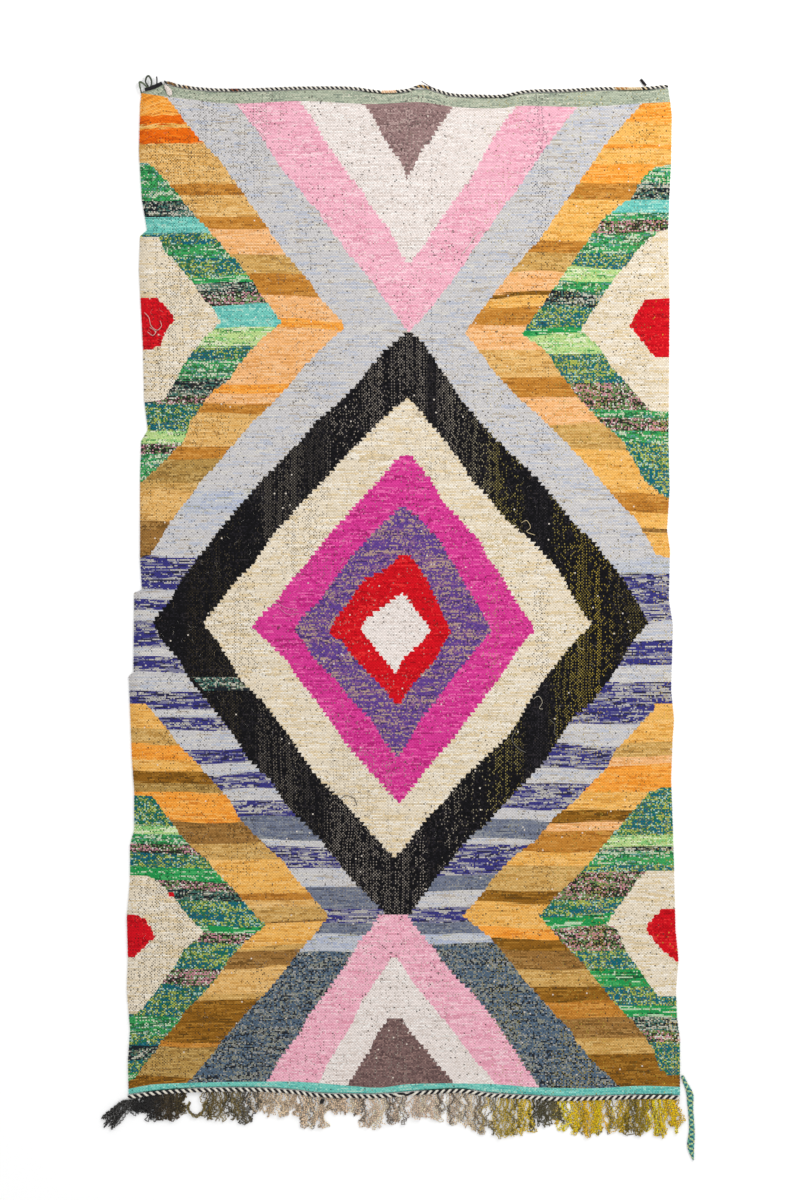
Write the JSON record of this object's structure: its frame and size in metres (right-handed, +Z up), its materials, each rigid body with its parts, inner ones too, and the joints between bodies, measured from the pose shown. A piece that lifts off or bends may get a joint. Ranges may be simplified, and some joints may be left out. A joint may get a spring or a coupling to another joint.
{
  "type": "flat-woven wool rug",
  "caption": "Flat-woven rug of nested lozenges and chevrons lying flat, with twined end cords, looped warp fringe at one end and a braided corner tail.",
  "frame": {"origin": "middle of the cloth on its flat underside, which lies on the floor", "axes": "+X across the rug to the right, +Y along the rug away from the fringe, +Z up out of the face"},
  "size_m": [1.6041, 2.9308, 0.0108],
  "materials": {
    "woven_cloth": "coarse matt wool and cotton in plain weave, every block of colour its own dyed yarn",
    "twined_yarn": "matt black and white yarns twined in slanted stitches",
    "warp_yarn": "kinked matt warp yarns from black through olive to yellow",
    "braid_yarn": "flat braid of teal, blue, yellow-green and white yarn",
    "black_yarn": "matt black yarn",
    "pale_wool": "loose unspun pale wool"
  },
  "bodies": {
    "root": {"rug_cloth": "woven_cloth", "top_twined_cord": "twined_yarn", "bottom_twined_cord": "twined_yarn", "bottom_fringe": "warp_yarn", "braided_tail": "braid_yarn", "top_left_knot": "black_yarn", "top_left_tuft": "pale_wool", "top_right_tail": "black_yarn"}
  },
  "joints": []
}
